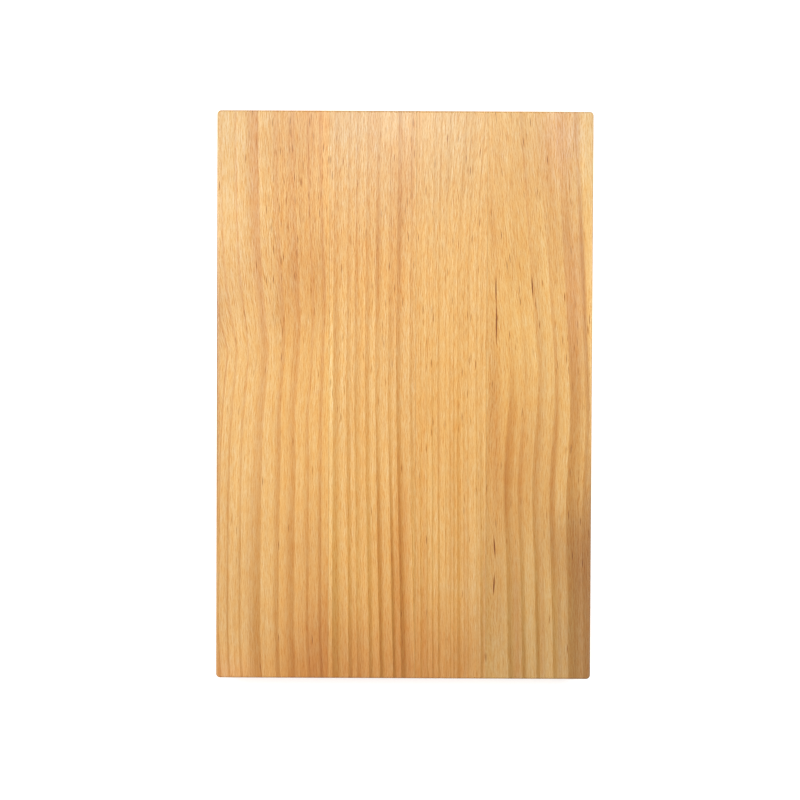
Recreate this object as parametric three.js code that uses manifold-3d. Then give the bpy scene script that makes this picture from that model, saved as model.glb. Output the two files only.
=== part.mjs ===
// Edge-glued pine serving board, in millimetres, with +Z up.
// Four staves run the full length, butted edge to edge with a cured glue line in each joint.
// The glued panel is trimmed to one rectangle, and a roundover eases its edges all the way round.
// X runs across the grain and Y along it. The origin is the middle of the underside.
import * as THREE from 'three';
import { mergeVertices } from 'three/addons/utils/BufferGeometryUtils.js';
import Module from 'manifold-3d';

// Driving dimensions
const BOARD_LENGTH = 300;
const BOARD_THICKNESS = 18;
const LEFT_STAVE_WIDTH = 59.4;
const CENTRE_LEFT_STAVE_WIDTH = 45.5;
const CENTRE_RIGHT_STAVE_WIDTH = 37.4;
const RIGHT_STAVE_WIDTH = 55.65;
const GLUE_LINE_THICKNESS = 0.15;
// Radius of the roundover along every edge, top and bottom
const EDGE_RADIUS = 1.2;
// Plan radius of the flat faces' corners, outside which the roundover runs
const FACE_CORNER_RADIUS = 1;

// Steps of a quarter circle, in plan at the corners and in section along the edges
const CORNER_STEPS = 8;
const EDGE_STEPS = 6;
// How far the trimming blocks stand past the panel, so that no trimmed face lies on a block's face
const TRIM_OVERSHOOT = 10;

// Finishes, seen under a clear satin oil
const HONEY_PINE = new THREE.MeshStandardMaterial({ color: 0xe6b875, roughness: 0.5, metalness: 0 });
const STRIPED_PINE = new THREE.MeshStandardMaterial({ color: 0xe2b16b, roughness: 0.5, metalness: 0 });
const PALE_PINE = new THREE.MeshStandardMaterial({ color: 0xe9bf80, roughness: 0.5, metalness: 0 });
const AMBER_PINE = new THREE.MeshStandardMaterial({ color: 0xe0ab64, roughness: 0.5, metalness: 0 });
const CURED_GLUE = new THREE.MeshStandardMaterial({ color: 0xb98545, roughness: 0.35, metalness: 0 });

// The layers across the board, from left to right
const LAYERS = [
  { name: 'left_stave', width: LEFT_STAVE_WIDTH, material: HONEY_PINE },
  { name: 'left_glue_line', width: GLUE_LINE_THICKNESS, material: CURED_GLUE },
  { name: 'centre_left_stave', width: CENTRE_LEFT_STAVE_WIDTH, material: STRIPED_PINE },
  { name: 'centre_glue_line', width: GLUE_LINE_THICKNESS, material: CURED_GLUE },
  { name: 'centre_right_stave', width: CENTRE_RIGHT_STAVE_WIDTH, material: PALE_PINE },
  { name: 'right_glue_line', width: GLUE_LINE_THICKNESS, material: CURED_GLUE },
  { name: 'right_stave', width: RIGHT_STAVE_WIDTH, material: AMBER_PINE },
];
const BOARD_WIDTH = LAYERS.reduce((sum, layer) => sum + layer.width, 0);

const wasm = await Module();
wasm.setup();

// A closed geometry as a solid, with its shared vertices merged
function toSolid(geometry) {
  const bare = geometry.index ? geometry.toNonIndexed() : geometry.clone();
  bare.deleteAttribute('normal');
  bare.deleteAttribute('uv');
  const merged = mergeVertices(bare);
  return new wasm.Manifold(new wasm.Mesh({
    numProp: 3,
    vertProperties: new Float32Array(merged.attributes.position.array),
    triVerts: new Uint32Array(merged.index.array),
  }));
}

// A solid as a geometry with flat facets
function toGeometry(solid) {
  const mesh = solid.getMesh();
  const indexed = new THREE.BufferGeometry();
  indexed.setAttribute('position', new THREE.BufferAttribute(new Float32Array(mesh.vertProperties), 3));
  indexed.setIndex(new THREE.BufferAttribute(new Uint32Array(mesh.triVerts), 1));
  const geometry = indexed.toNonIndexed();
  geometry.computeVertexNormals();
  return geometry;
}

// A rectangle about the origin whose corners are quarter circles
function roundedRectangle(width, length, radius) {
  const right = width / 2 - radius;
  const far = length / 2 - radius;
  const shape = new THREE.Shape();
  shape.absarc(right, far, radius, 0, Math.PI / 2);
  shape.absarc(-right, far, radius, Math.PI / 2, Math.PI);
  shape.absarc(-right, -far, radius, Math.PI, 1.5 * Math.PI);
  shape.absarc(right, -far, radius, 1.5 * Math.PI, 2 * Math.PI);
  return shape;
}

// The whole panel, trimmed and eased: the flat face's outline, with the roundover as its bevel
function easedPanel() {
  const faceWidth = BOARD_WIDTH - 2 * EDGE_RADIUS;
  const faceLength = BOARD_LENGTH - 2 * EDGE_RADIUS;
  const panel = new THREE.ExtrudeGeometry(roundedRectangle(faceWidth, faceLength, FACE_CORNER_RADIUS), {
    depth: BOARD_THICKNESS - 2 * EDGE_RADIUS,
    curveSegments: CORNER_STEPS,
    bevelThickness: EDGE_RADIUS,
    bevelSize: EDGE_RADIUS,
    bevelSegments: EDGE_STEPS,
  });
  panel.translate(0, 0, EDGE_RADIUS);
  return toSolid(panel);
}

// A block that spans the panel's length and thickness between two joint planes
function trimmingBlock(left, right) {
  const block = new THREE.BoxGeometry(
    right - left, BOARD_LENGTH + 2 * TRIM_OVERSHOOT, BOARD_THICKNESS + 2 * TRIM_OVERSHOOT);
  block.translate((left + right) / 2, 0, BOARD_THICKNESS / 2);
  return toSolid(block);
}

const board = new THREE.Group();
board.name = 'serving_board';
const panel = easedPanel();
let joint = -BOARD_WIDTH / 2;
LAYERS.forEach((layer, index) => {
  const isFirst = index === 0;
  const isLast = index === LAYERS.length - 1;
  const left = isFirst ? joint - TRIM_OVERSHOOT : joint;
  joint += layer.width;
  const right = isLast ? joint + TRIM_OVERSHOOT : joint;
  const mesh = new THREE.Mesh(toGeometry(panel.intersect(trimmingBlock(left, right))), layer.material);
  mesh.name = layer.name;
  board.add(mesh);
});

export default board;
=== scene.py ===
"""Edge-glued pine serving board: its surfaces, its finishes, the light and the camera.

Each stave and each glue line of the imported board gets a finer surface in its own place. The wood is a
solid figure: growth rings are cylinders about a pith outside the stave, and every pattern is read in the
wood's own grain coordinates, so the faces, the edges and the end grain agree.
"""

import logging
import math
from abc import ABC, abstractmethod
from collections.abc import Sequence
from dataclasses import dataclass
from enum import Enum

import bpy
import numpy as np
from bpy.types import Material, Mesh, Node, NodeSocket, NodeTree, Object
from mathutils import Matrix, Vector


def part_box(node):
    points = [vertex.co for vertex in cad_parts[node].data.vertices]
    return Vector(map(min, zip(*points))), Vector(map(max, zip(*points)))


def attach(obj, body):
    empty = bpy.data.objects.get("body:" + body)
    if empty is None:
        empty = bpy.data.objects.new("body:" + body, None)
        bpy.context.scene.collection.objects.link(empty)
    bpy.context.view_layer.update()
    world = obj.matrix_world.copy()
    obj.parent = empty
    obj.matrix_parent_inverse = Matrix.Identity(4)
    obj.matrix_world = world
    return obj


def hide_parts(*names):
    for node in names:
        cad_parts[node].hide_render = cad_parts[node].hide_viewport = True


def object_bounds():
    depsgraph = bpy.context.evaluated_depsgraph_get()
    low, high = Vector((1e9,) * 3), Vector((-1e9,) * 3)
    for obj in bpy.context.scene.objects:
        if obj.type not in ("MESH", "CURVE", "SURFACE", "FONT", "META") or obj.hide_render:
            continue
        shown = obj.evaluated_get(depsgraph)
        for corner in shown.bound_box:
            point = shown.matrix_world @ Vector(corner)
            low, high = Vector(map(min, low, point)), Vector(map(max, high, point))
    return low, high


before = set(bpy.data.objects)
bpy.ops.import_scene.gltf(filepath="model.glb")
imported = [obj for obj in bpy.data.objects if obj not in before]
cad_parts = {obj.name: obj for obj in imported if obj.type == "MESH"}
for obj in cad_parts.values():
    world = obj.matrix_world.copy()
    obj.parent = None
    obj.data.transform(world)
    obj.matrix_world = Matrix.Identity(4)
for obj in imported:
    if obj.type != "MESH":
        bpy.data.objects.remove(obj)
CAD_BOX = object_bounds()

log = logging.getLogger("serving_board")

MM = 0.001
# Spacing of the surface grids across the grain, along it and through the thickness
ACROSS_STEP = 0.42
ALONG_STEP = 1.5
THROUGH_STEP = 1.5
# A joint plane that is nearer than this to the panel's side is that side
TOUCHING = 0.001
# Keeps a division from being by zero
TINY = 1e-9
# Facets in an eighth of a circle, at the roundover and at the outline's corners
ARC_STEPS = 5
# Edges that turn by more than this stay crisp, as the joint faces' edges do
CREASE_DEGREES = 35.0

# Growth rings that are added past each end of a stave's own list, for the faces that reach deeper: how
# many, how unevenly they are spaced, the share of each that is latewood, and how dark it is
SPARE_RINGS = 14
SPARE_UNEVEN = 0.22
SPARE_LATE = 0.35
SPARE_DEPTH = 0.6
# How far from the middle of the board a ring's far and near depths are given, and up to how many times
# as far they go on changing
DEPTH_STATION = 115.0
DEPTH_PAST = 1.15
# The places along the board between which more and more resin canals are open, cut fibres show more and
# more, and the latewood changes its hue
CANAL_STATIONS = (-60.0, 100.0)
FIBRE_STATIONS = (-40.0, 110.0)
OCHRE_STATIONS = (-110.0, 60.0)
# The share of canals that are open and the strength of the fibres at those places
OPEN_SHARES = (0.06, 0.40)
FIBRE_STRENGTHS = (0.62, 1.0)

# Where each face of a lattice block goes on its bake map: left, right, low, high
BAKE_PANELS = {
    (2, True): (0.005, 0.445, 0.005, 0.995),
    (2, False): (0.460, 0.690, 0.005, 0.995),
    (0, False): (0.705, 0.785, 0.005, 0.995),
    (0, True): (0.800, 0.880, 0.005, 0.995),
    (1, False): (0.895, 0.995, 0.005, 0.490),
    (1, True): (0.895, 0.995, 0.510, 0.995),
}
# For a face across each axis, the axis that runs up the bake map and the one that runs across it
BAKE_AXES = ((1, 2), (0, 2), (1, 0))
# The corners of a grid's cell, in the order that faces up the axis
CELL_TURN = np.array([(0, 0), (1, 0), (1, 1), (0, 1)])


def linear(colour: str) -> tuple[float, float, float, float]:
    """Turns an sRGB hex colour into linear RGBA.

    Args:
        colour: six hex digits after a hash sign.

    Returns:
        Red, green and blue by the sRGB transfer curve, and an alpha of 1.
    """
    channels = np.array([int(colour[k:k + 2], 16) for k in (1, 3, 5)]) / 255.0
    bright = ((channels + 0.055) / 1.055) ** 2.4
    red, green, blue = np.where(channels <= 0.04045, channels / 12.92, bright)
    return float(red), float(green), float(blue), 1.0


def add_node(tree: NodeTree, kind: str, inputs: Sequence | dict = (), **settings: object) -> Node:
    """Adds one node with its settings, and fills or links its inputs.

    Args:
        tree: the node tree that gets the node.
        kind: Blender's name for the type of node.
        inputs: the inputs in their order or by name, each a constant, or the socket or node that feeds
            it. A node feeds it from its first output.
        settings: the node's own properties.

    Returns:
        The new node.
    """
    node = tree.nodes.new(kind)
    for name, value in settings.items():
        setattr(node, name, value)
    for key, value in inputs.items() if isinstance(inputs, dict) else enumerate(inputs):
        source = value.outputs[0] if isinstance(value, Node) else value
        if isinstance(source, NodeSocket):
            tree.links.new(source, node.inputs[key])
        else:
            node.inputs[key].default_value = source
    return node


def empty_material(name: str) -> Material:
    """Makes a material whose node tree is still empty."""
    material = bpy.data.materials.new(name)
    material.use_nodes = True
    material.node_tree.nodes.clear()
    return material


def smooth_path(stations: tuple[float, ...], values: tuple[float, ...], at: np.ndarray) -> np.ndarray:
    """Reads a cubic Hermite spline whose slopes are the central differences of its points.

    Args:
        stations, values: the points, from the lowest station to the highest.
        at: where the curve is read.

    Returns:
        The curve's values, held constant past both ends.
    """
    places = np.asarray(stations, dtype=float)
    heights = np.asarray(values, dtype=float)
    slopes = np.gradient(heights, places)
    span = np.clip(np.searchsorted(places, at) - 1, 0, len(places) - 2)
    gap = places[span + 1] - places[span]
    t = np.clip((at - places[span]) / gap, 0.0, 1.0)
    start = (1 + 2 * t) * (1 - t) ** 2 * heights[span] + t * (1 - t) ** 2 * gap * slopes[span]
    end = t * t * (3 - 2 * t) * heights[span + 1] - t * t * (1 - t) * gap * slopes[span + 1]
    return start + end


def grid_lines(
    low: float, high: float, step: float, radii: tuple[float, ...], eased: tuple[bool, bool],
) -> np.ndarray:
    """Places grid lines evenly from low to high, and closer where an end is rounded.

    At a rounded end they stand at radius times the tangent of equal angles, which easing turns into equal
    steps of arc.

    Args:
        low, high: the ends.
        step: the spacing of the even lines.
        radii: the radii at an eased end.
        eased: whether the low end and the high end are eased.

    Returns:
        The rising places of the lines.
    """
    zone = max(radii)
    tangents = np.tan(np.linspace(0.0, math.pi / 4, ARC_STEPS + 1))
    inset = np.unique(np.round(np.concatenate([radius * (1 - tangents) for radius in radii]), 6))
    inner_low = low + zone * eased[0]
    inner_high = high - zone * eased[1]
    lines = [np.linspace(inner_low, inner_high, max(2, round((inner_high - inner_low) / step) + 1))]
    if eased[0]:
        lines.append(low + inset)
    if eased[1]:
        lines.append(high - inset)
    return np.unique(np.round(np.concatenate(lines), 5))


@dataclass(frozen=True)
class LatticeBlock:
    """The closed surface of a block that is ruled by grid lines in three directions."""

    points: np.ndarray
    quads: np.ndarray
    bake_uv: np.ndarray

    @classmethod
    def ruled(cls, lines: tuple[np.ndarray, np.ndarray, np.ndarray]) -> "LatticeBlock":
        """Rules the six faces of a block, each a grid over two sets of lines that faces outwards.

        Points that faces share have the same lattice number and are merged by it.

        Args:
            lines: the grid lines across, along and through the block.

        Returns:
            The block with its points, quads and bake map.
        """
        counts = tuple(len(line) for line in lines)
        corner_numbers = []
        maps = []
        for (axis, at_high), (left, right, bottom, top) in BAKE_PANELS.items():
            first, second = (axis + 1) % 3, (axis + 2) % 3
            cells = np.indices((counts[first] - 1, counts[second] - 1)).reshape(2, -1).T
            corners = cells[:, None, :] + (CELL_TURN if at_high else CELL_TURN[:, ::-1])
            lattice = np.zeros(corners.shape[:2] + (3,), dtype=np.int64)
            lattice[..., axis] = (counts[axis] - 1) * at_high
            lattice[..., first] = corners[..., 0]
            lattice[..., second] = corners[..., 1]
            corner_numbers.append(np.ravel_multi_index(tuple(lattice.reshape(-1, 3).T), counts))
            upright, level = BAKE_AXES[axis]
            across = (lines[level] - lines[level][0]) / np.ptp(lines[level])
            along = (lines[upright] - lines[upright][0]) / np.ptp(lines[upright])
            u = left + (right - left) * across[lattice[..., level]]
            v = bottom + (top - bottom) * along[lattice[..., upright]]
            maps.append(np.stack([u, v], axis=-1))
        numbers, quads = np.unique(np.concatenate(corner_numbers), return_inverse=True)
        place = np.unravel_index(numbers, counts)
        points = np.stack([lines[k][place[k]] for k in range(3)], axis=-1)
        return cls(points, quads.reshape(-1, 4), np.concatenate(maps))

    def to_object(self, name: str, points: np.ndarray) -> Object:
        """Puts the block into a mesh object.

        Args:
            name: the piece's name.
            points: the block's points after easing, in millimetres.

        Returns:
            The object, at the origin, smooth with crisp creases, with its bake map.
        """
        mesh = bpy.data.meshes.new(name)
        mesh.from_pydata((points * MM).tolist(), [], self.quads.tolist())
        bake_map = mesh.uv_layers.new(name="OFBake")
        bake_map.uv.foreach_set("vector", self.bake_uv.astype(np.float32).ravel())
        mesh.polygons.foreach_set("use_smooth", np.ones(len(self.quads), dtype=bool))
        mesh.set_sharp_from_angle(angle=math.radians(CREASE_DEGREES))
        mesh.update()
        piece = bpy.data.objects.new(name, mesh)
        bpy.context.scene.collection.objects.link(piece)
        return piece


@dataclass(frozen=True)
class PanelForm:
    """The glued panel's outer form, in millimetres: a box with rounded plan corners and a roundover."""

    width: float
    length: float
    thickness: float
    # Real radii of the roundover and of the outline's corners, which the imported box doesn't tell
    edge_radius: float = 1.2
    corner_radius: float = 2.2

    def lines(self, left: float, right: float) -> tuple[np.ndarray, np.ndarray, np.ndarray]:
        """Places the grid lines of the layer between two joint planes.

        Args:
            left, right: the layer's sides, in millimetres from the panel's middle.

        Returns:
            The lines across, along and through the layer.
        """
        plan = (self.corner_radius, self.edge_radius)
        outer = (left < -self.width / 2 + TOUCHING, right > self.width / 2 - TOUCHING)
        across = grid_lines(left, right, ACROSS_STEP, plan, outer)
        along = grid_lines(-self.length / 2, self.length / 2, ALONG_STEP, plan, (True, True))
        through = grid_lines(0.0, self.thickness, THROUGH_STEP, (self.edge_radius,), (True, True))
        return across, along, through

    def ease(self, points: np.ndarray) -> np.ndarray:
        """Eases a sharp block's points to the panel's corners and roundover.

        In plan, a point in a corner's square moves towards the corner's centre by its larger offset over
        its distance, which maps the square onto a quarter disc. In section, a point in the roundover's
        square moves in the same way, along the outline's normal and along Z.

        Args:
            points: points of the sharp block.

        Returns:
            The eased points.
        """
        half = np.array([self.width / 2, self.length / 2])
        core = np.clip(points[:, :2], self.corner_radius - half, half - self.corner_radius)
        offset = points[:, :2] - core
        reach = np.maximum(np.hypot(offset[:, 0], offset[:, 1]), TINY)
        rounded = np.abs(offset).max(axis=1)
        normal = offset / reach[:, None]
        flat = self.corner_radius - self.edge_radius
        beside = np.maximum(rounded - flat, 0.0)
        middle = self.thickness / 2
        height = points[:, 2] - middle
        above = np.maximum(np.abs(height) - (middle - self.edge_radius), 0.0)
        shrink = np.maximum(beside, above) / np.maximum(np.hypot(beside, above), TINY)
        radial = np.where(beside > 0, flat + beside * shrink, rounded)
        level = np.where(above > 0, np.sign(height) * (middle - self.edge_radius + above * shrink), height)
        plan = core + normal * radial[:, None]
        return np.column_stack([plan, level + middle])


class Growth(Enum):
    """The side towards which a stave's rings grew, seen from above: the sharp side of the latewood."""

    RIGHT = 1.0
    LEFT = -1.0


class Tint(Enum):
    """How a change of tone dims red, green and blue: the optical density of one full measure of it."""

    # The wood's own darkening, from earlywood to latewood
    WOOD = (0.60, 1.00, 1.70)
    # Cut fibres hold the most oil, so they are more orange than dark
    FIBRE = (0.42, 1.00, 2.00)
    # Resin and oil take the blue first, so the wood turns to honey. The broad amber patches at the near end
    # are painted shade.
    AMBER = (0.25, 0.50, 0.75)
    # Heartwood is darker without being much redder
    BROWN = (0.40, 0.55, 0.60)
    # Painted shade, dimmer all over, put in patches at the board's far and near ends
    GREY = (0.50, 0.50, 0.38)
    # Yellow wood. A negative measure makes it pink, and at the board's far end that pink is painted sheen.
    STRAW = (0.0, 0.10, 0.33)
    # Rosy wood, as between the heart and the bark. At the right stave's far end it is painted sheen.
    ROSE = (-0.06, 0.10, -0.20)
    # Latewood that is more ochre than orange. A negative measure makes it rosier.
    OCHRE = (0.10, 0.0, 0.40)


class Unevenness(Enum):
    """Noise that is drawn out along the grain: width and length in millimetres, octaves and density."""

    # Long fibres, 0.03 mm wide in pine and drawn coarser so that they show
    HAIR = (0.5, 90.0, 1.0, 0.3)
    # Flames along the rings, which make the rings' edges waver
    FLAME = (1.7, 70.0, 2.0, 0.20)
    # Broad patches, where more resin canals show, or fewer
    MOTTLE = (8.0, 50.0, 1.0, 0.15)
    # Ripples, nearly as wide as they are long
    RIPPLE = (3.5, 6.0, 2.0, 0.14)
    # The mouths of cut rays, under 0.1 mm in pine and drawn ten times as large so that they show
    SPECK = (0.9, 1.2, 1.0, 0.15)
    # Patches of yellow and pink
    YELLOW = (2.5, 7.0, 1.0, 2.2)


def bell(offset: np.ndarray, reach: float, steep: float = 2.0) -> np.ndarray:
    """Reads a bell curve that falls to a third at its reach, the more steeply the flatter its top."""
    return np.exp(-np.abs(offset / reach) ** steep)


@dataclass(frozen=True)
class Ring:
    """One growth ring's dark latewood, in millimetres.

    Attributes:
        edge: where its sharp side meets the serving face, from the board's left edge.
        late: how wide the dark part is.
        far, middle, near: how dark it is at the far end, the middle and the near end, 1 for plain latewood.
    """

    edge: float
    late: float
    far: float
    middle: float
    near: float


@dataclass(frozen=True, kw_only=True)
class Tone:
    """A change of colour by a tint: mostly the wood's own tone, and in some patches at the board's ends
    painted shade and painted sheen.
    """

    tint: Tint

    @classmethod
    def group(cls, tint: Tint, *rows: tuple[float, ...]) -> tuple["Tone", ...]:
        """Makes several changes of one tint, each from a row of its other fields in their order."""
        return tuple(cls(*row, tint=tint) for row in rows)


@dataclass(frozen=True)
class Streak(Tone):
    """A soft stripe that follows the rings, in millimetres.

    Attributes:
        at: its middle line on the serving face, from the board's left edge.
        reach: how far it fades to either side.
        measure: how strong it is, or negative for paler wood.
        far, near: where it ends along the board. 400 and -400 are well past the board's ends.
        fade: how softly it ends.
        steep: how steeply its sides fall, 2 for a soft bell and 12 for a clear edge.
    """

    at: float
    reach: float
    measure: float
    far: float = 400.0
    near: float = -400.0
    fade: float = 18.0
    steep: float = 2.0

    def strength(self, across: np.ndarray, along: np.ndarray) -> np.ndarray:
        """Multiplies a bell across the rings by a soft window along them."""
        window = np.tanh((along - self.near) / self.fade) - np.tanh((along - self.far) / self.fade)
        return 0.5 * self.measure * window * bell(across - self.at, self.reach, self.steep)


@dataclass(frozen=True)
class Patch:
    """A soft oval patch of the wood, in millimetres.

    Attributes:
        across, along: its centre on the serving face, from the board's left edge and from its middle.
        reach_across, reach_along: how far it fades.
    """

    across: float
    along: float
    reach_across: float
    reach_along: float

    def weight(self, face: np.ndarray, along: np.ndarray) -> np.ndarray:
        """Multiplies a bell across the board by a bell along it, for a weight of 1 in the centre."""
        return bell(face - self.across, self.reach_across) * bell(along - self.along, self.reach_along)


@dataclass(frozen=True)
class ToneAndLightPatch(Patch, Tone):
    """A patch of another tone, with its measure, which is negative for paler wood. Some patches at the
    board's ends are painted shade and painted sheen.
    """

    measure: float


@dataclass(frozen=True)
class Flecks(Patch):
    """A patch where cut cells show more, or less.

    Attributes:
        share: how many more resin canals are cut open, as a share of all.
        fibre: how much more the cut fibres show, as a share.
    """

    share: float
    fibre: float = 0.0


@dataclass(frozen=True)
class PitchPocket:
    """A resin-filled slit in the serving face, in millimetres, and its lean in degrees."""

    across: float
    along: float
    half_width: float
    half_length: float
    lean: float


@dataclass(frozen=True)
class Figure(ABC):
    """The figure of one stave's wood, in millimetres.

    Attributes:
        growth: the side towards which the rings grew.
        pith_beyond, pith_below: how far the pith lies past the stave's inner side, and below the face.
        ochre_near, ochre_far: how ochre the latewood is towards the near end and the far end.
        rings: the rings that the serving face shows.
        streaks, tone_and_light_patches: stripes and patches of tone, and patches of painted shade and
            painted sheen at the board's ends.
        flecks: patches where cut cells show more, or less.
        pockets: pitch pockets.
    """

    growth: Growth
    pith_beyond: float
    pith_below: float
    ochre_near: float
    ochre_far: float
    rings: tuple[Ring, ...]
    streaks: tuple[Streak, ...]
    tone_and_light_patches: tuple[ToneAndLightPatch, ...]
    flecks: tuple[Flecks, ...] = ()
    pockets: tuple[PitchPocket, ...] = ()

    @abstractmethod
    def wander(self, across: np.ndarray, along: np.ndarray) -> np.ndarray:
        """Tells how far the rings are pushed to the right at each place across and along the board."""

    def across_face(self, points: np.ndarray, left: float, right: float, form: PanelForm) -> np.ndarray:
        """Finds where each point's ring meets the serving face.

        A ring is a cylinder about the pith, so there the squared offset from the pith is the squared
        radius less the pith's squared depth.

        Args:
            points: points of the stave, in millimetres.
            left, right: the stave's sides.
            form: the panel.

        Returns:
            The place across the serving face, from the board's left edge.
        """
        inner = left if self.growth is Growth.RIGHT else right
        pith = inner - self.growth.value * self.pith_beyond
        sunk = points[:, 2] - (form.thickness - self.pith_below)
        square = (points[:, 0] - pith) ** 2 + sunk ** 2 - self.pith_below ** 2
        return pith + self.growth.value * np.sqrt(np.maximum(square, 0.0)) + form.width / 2

    def ring_field(self, across: np.ndarray, along: np.ndarray) -> np.ndarray:
        """Counts the rings in the direction of growth, by one from each sharp side to the next.

        Rings at about the mean spacing carry the count on past both ends of the list.

        Args:
            across, along: the place across the serving face after wander, and along the board.

        Returns:
            The count, the latewood's depth and its share of the ring, one row for each place.
        """
        ordered = sorted(self.rings, key=lambda ring: ring.edge * self.growth.value)
        edges = np.array([ring.edge * self.growth.value for ring in ordered])
        spacing = float(np.mean(np.diff(edges)))
        uneven = SPARE_UNEVEN * np.sin(1.9 * np.arange(SPARE_RINGS))
        spare = spacing * (np.arange(1, SPARE_RINGS + 1) + uneven)
        edges = np.concatenate([edges[0] - spare[::-1], edges, edges[-1] + spare])
        spare_late = np.full(SPARE_RINGS, SPARE_LATE * spacing)
        late = np.concatenate([spare_late, [ring.late for ring in ordered], spare_late])
        spare_depths = np.full((SPARE_RINGS, 3), SPARE_DEPTH)
        own_depths = [(ring.near, ring.middle, ring.far) for ring in ordered]
        depths = np.concatenate([spare_depths, own_depths, spare_depths])
        count = np.interp(across * self.growth.value, edges, np.arange(len(edges)))
        ring = np.clip(np.ceil(count - 1e-6).astype(int), 1, len(edges) - 1)
        share = late[ring] / (edges[ring] - edges[ring - 1])
        near_depth, middle_depth, far_depth = depths[ring].T
        near_change = (near_depth - middle_depth) * np.clip(-along / DEPTH_STATION, 0.0, DEPTH_PAST)
        far_change = (far_depth - middle_depth) * np.clip(along / DEPTH_STATION, 0.0, DEPTH_PAST)
        return np.column_stack([count, middle_depth + near_change + far_change, share])

    def stain_and_light_field(self, across: np.ndarray, face: np.ndarray, along: np.ndarray) -> np.ndarray:
        """Adds up the densities of the stripes and patches, some of which are painted shade and painted
        sheen.

        Args:
            across: the place across the serving face after wander, for the stripes.
            face: the same before wander, for the patches.
            along: the place along the board.

        Returns:
            The natural logarithm of the share of red, green and blue that is kept, one row for each place.
        """
        density = np.zeros((len(across), 3))
        for streak in self.streaks:
            density += np.outer(streak.strength(across, along), streak.tint.value)
        for tone_and_light in self.tone_and_light_patches:
            density += np.outer(tone_and_light.measure * tone_and_light.weight(face, along), tone_and_light.tint.value)
        return -density

    def life_field(self, face: np.ndarray, along: np.ndarray) -> np.ndarray:
        """Tells how lively the wood's small features are.

        Args:
            face, along: the place across the serving face before wander, and along the board.

        Returns:
            The open canals' share, the fibres' strength and the latewood's ochre, one row for each place.
        """
        share = np.interp(along, CANAL_STATIONS, OPEN_SHARES)
        fibre = np.interp(along, FIBRE_STATIONS, FIBRE_STRENGTHS)
        for patch in self.flecks:
            weight = patch.weight(face, along)
            share += patch.share * weight
            fibre *= 1.0 + patch.fibre * weight
        ochre = np.interp(along, OCHRE_STATIONS, (self.ochre_near, self.ochre_far))
        return np.column_stack([share, fibre, ochre])


@dataclass(frozen=True)
class KnotSwirl(Figure):
    """Rings that swing round a knot just off the stave's outer edge, in millimetres.

    Attributes:
        apex: where along the board the rings bulge the most, by the outer edge.
        bulge, lean: how far they bulge there, and how far they lean back beyond the knot.
        bulge_reach, lean_reach: how far across the stave those die away.
        kink, swing: how far the rings in the middle of the stave step back and swing out.
        foot: how far the rings lean out again at the near end.
    """

    apex: float = 22.0
    bulge: float = 5.0
    bulge_reach: float = 56.0
    lean: float = 9.6
    lean_reach: float = 45.0
    kink: float = 1.4
    swing: float = 0.9
    foot: float = 1.2

    def wander(self, across: np.ndarray, along: np.ndarray) -> np.ndarray:
        """Bulges the rings away from the knot.

        The bulge dies away across the stave and towards the near end, and beyond the knot it turns into
        a lean the other way. Nearer than the knot, the middle rings step back and swing out once more.

        Args:
            across, along: the place from the board's left edge, and along the board.

        Returns:
            How far the rings are pushed to the right.
        """
        apart = np.maximum(across, 0.0)
        # From the knot's place along the board, which moves to the far end across the stave
        beyond = along - (self.apex + 0.85 * np.maximum(apart - 25.0, 0.0))
        power = np.minimum(1.0 + 0.025 * apart, 1.5)
        bulge = self.bulge * bell(apart, self.bulge_reach, 1.6)
        bulge *= np.exp(-(np.maximum(-beyond, 0.0) / 34.0) ** power)
        length = np.minimum(25.0 + 1.1 * apart, 46.0)
        lean = self.lean * np.exp(-apart / self.lean_reach)
        lean *= 1.0 - np.exp(-(np.maximum(beyond, 0.0) / length) ** power)
        foot = self.foot * np.maximum((-along - 125.0) / 25.0, 0.0)
        relaxed = 0.5 + 0.5 * bell(np.minimum(along + 8.0, 0.0), 32.0)
        kink = self.kink * bell(apart - 45.0, 9.0) * relaxed / (1.0 + np.exp((along - 1.0) / 4.5))
        swing = self.swing * bell(apart - 39.0, 10.0) * bell(along + 36.0, 22.0)
        return bulge - lean + foot - kink + swing


@dataclass(frozen=True)
class Fan(Figure):
    """Straight rings that fan out towards the near end, by a spread and a far lean in millimetres."""

    spread: float = 3.0
    far_lean: float = 0.6

    def wander(self, across: np.ndarray, along: np.ndarray) -> np.ndarray:
        """Leans the rings to the right towards the near end, more so away from the left joint."""
        fan = self.spread * (1.0 - np.exp(-np.maximum(across - 61.0, 0.0) / 14.0))
        near = np.clip((9.0 - along) / 129.0, 0.0, 1.2) ** 1.2
        far = self.far_lean * np.clip((along - 40.0) / 100.0, 0.0, 1.0)
        return fan * near + far


@dataclass(frozen=True)
class Drift(Figure):
    """Fine straight rings that drift to the right at both ends, by leans in millimetres."""

    far_lean: float = 3.8
    near_lean: float = 1.2

    def wander(self, across: np.ndarray, along: np.ndarray) -> np.ndarray:
        """Leans the rings to the right, more and more at the far end and evenly towards the near one."""
        share = np.clip((across - 113.0) / 16.0, 0.2, 1.0)
        far = self.far_lean * share * np.clip((along - 60.0) / 85.0, 0.0, 1.1) ** 1.6
        near = self.near_lean * np.clip(-along / 150.0, 0.0, 1.0)
        return far + near


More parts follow.
